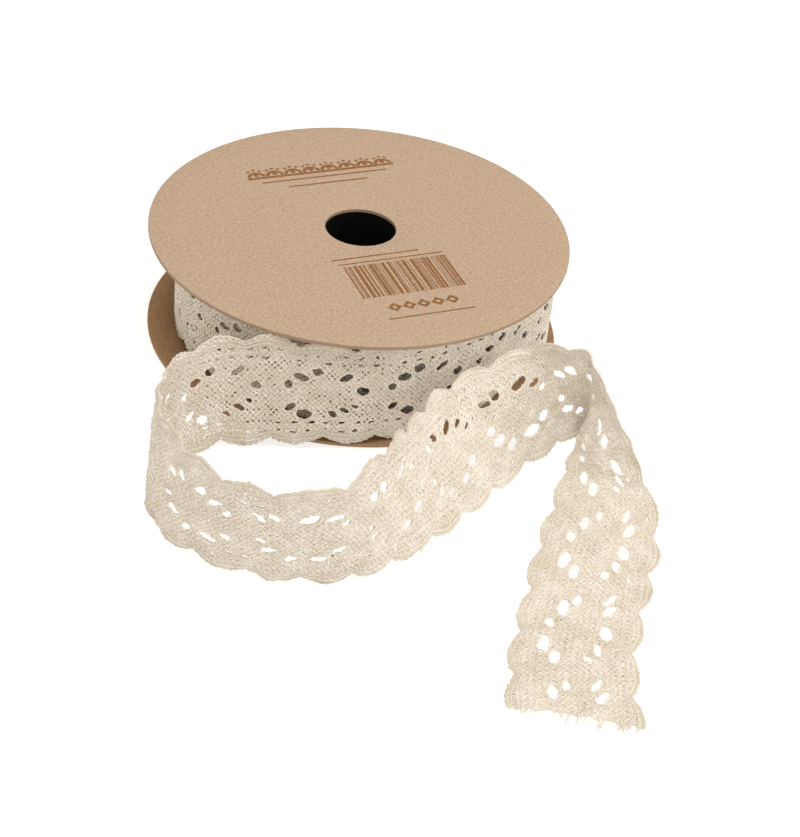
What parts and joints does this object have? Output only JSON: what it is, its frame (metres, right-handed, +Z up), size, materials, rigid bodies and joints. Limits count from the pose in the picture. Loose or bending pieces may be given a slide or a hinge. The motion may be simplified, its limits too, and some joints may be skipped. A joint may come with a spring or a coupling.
{
  "type": "spool of lace ribbon",
  "caption": "Spool of scalloped cotton lace ribbon between two card discs with a centre hole, its loose end looping out in front and lying flat.",
  "frame": {"origin": "centre of the floor rectangle that the whole part covers, on the surface that the bottom disc and the ribbon lie on", "axes": "+Z up along the spool's axis, which stands 7.89 mm to -X and 31.97 mm to +Y of the origin; -Y towards the loop and the ribbon's cut end"},
  "size_m": [0.0958, 0.144, 0.022],
  "materials": {
    "kraft_card": "matte unbleached kraft board with short fibres",
    "kraft_card_bottom": "matte unbleached kraft board",
    "black_core_card": "matte black card",
    "wound_lace": "ivory cotton bobbin lace, wound in turns",
    "loose_lace": "ivory cotton bobbin lace"
  },
  "bodies": {
    "root": {"top_disc": "kraft_card", "bottom_disc": "kraft_card_bottom", "core": "black_core_card", "wound_roll": "wound_lace", "loose_ribbon": "loose_lace"}
  },
  "joints": []
}
